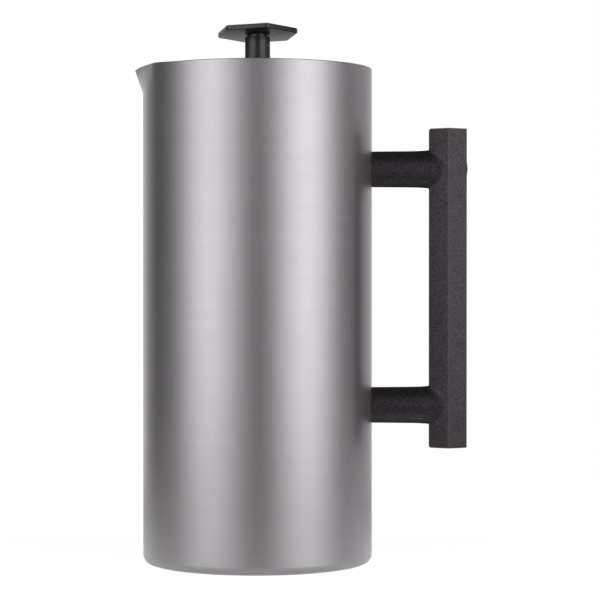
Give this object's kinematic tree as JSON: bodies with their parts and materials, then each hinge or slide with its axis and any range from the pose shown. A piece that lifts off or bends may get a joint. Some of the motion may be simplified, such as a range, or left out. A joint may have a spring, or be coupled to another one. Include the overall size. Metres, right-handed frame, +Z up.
{
  "type": "french press",
  "caption": "Double-walled cylindrical french press with a V spout, hexagonal side grip on round posts, turning lift-off lid and sliding plunger with a flat hexagonal knob.",
  "frame": {"origin": "centre of the flat base, on the pot's axis, at the surface it stands on", "axes": "+Z up along the pot's axis, +X from the axis towards the handle, -X towards the spout"},
  "size_m": [0.1575, 0.108, 0.2527],
  "materials": {
    "shell_steel": "satin stainless steel, brushed round the pot",
    "vessel_steel": "satin stainless steel inside the pot",
    "base_steel": "satin stainless steel, spun",
    "handle_black": "fine-grained satin black moulding",
    "plug_black": "fine-grained satin black moulding",
    "fixing_steel": "plain stainless steel fasteners",
    "lid_steel": "stainless steel brushed in rings",
    "lid_black": "moulded black nylon",
    "seal_silicone": "matte dark silicone",
    "knob_black": "satin black moulding",
    "insert_brass": "turned brass",
    "rod_steel": "polished stainless steel",
    "filter_steel": "stamped stainless steel",
    "spring_steel": "bright coiled stainless wire",
    "mesh_steel": "fine woven stainless wire cloth"
  },
  "bodies": {
    "pot": {"outer_shell": "shell_steel", "inner_vessel": "vessel_steel", "base_plate": "base_steel", "handle": "handle_black", "handle_boss_upper": "fixing_steel", "handle_screw_upper": "fixing_steel", "handle_washer_upper": "fixing_steel", "handle_plug_upper": "plug_black", "handle_boss_lower": "fixing_steel", "handle_screw_lower": "fixing_steel", "handle_washer_lower": "fixing_steel", "handle_plug_lower": "plug_black"},
    "seal": {"lid_seal": "seal_silicone"},
    "lid": {"lid_cap": "lid_steel", "lid_strainer": "lid_black", "lid_bush": "lid_black", "lid_nut": "fixing_steel"},
    "plunger": {"knob_plate": "knob_black", "knob_stem": "knob_black", "knob_insert": "insert_brass", "plunger_rod": "rod_steel", "rod_collar": "rod_steel", "spiral_plate": "filter_steel", "filter_spring": "spring_steel", "filter_mesh": "mesh_steel", "cross_plate": "filter_steel", "filter_nut": "rod_steel"}
  },
  "joints": [
    {"name": "lid_lift", "type": "slide", "parent": "pot", "child": "seal", "axis": [0, 0, 1], "range_m": [0, 0.25]},
    {"name": "lid_turn", "type": "hinge", "parent": "seal", "child": "lid", "pos_m": [0, 0, 0.2323], "axis": [0, 0, 1], "continuous": true},
    {"name": "plunger_slide", "type": "slide", "parent": "lid", "child": "plunger", "axis": [0, 0, 1], "range_m": [0, 0.175]}
  ]
}
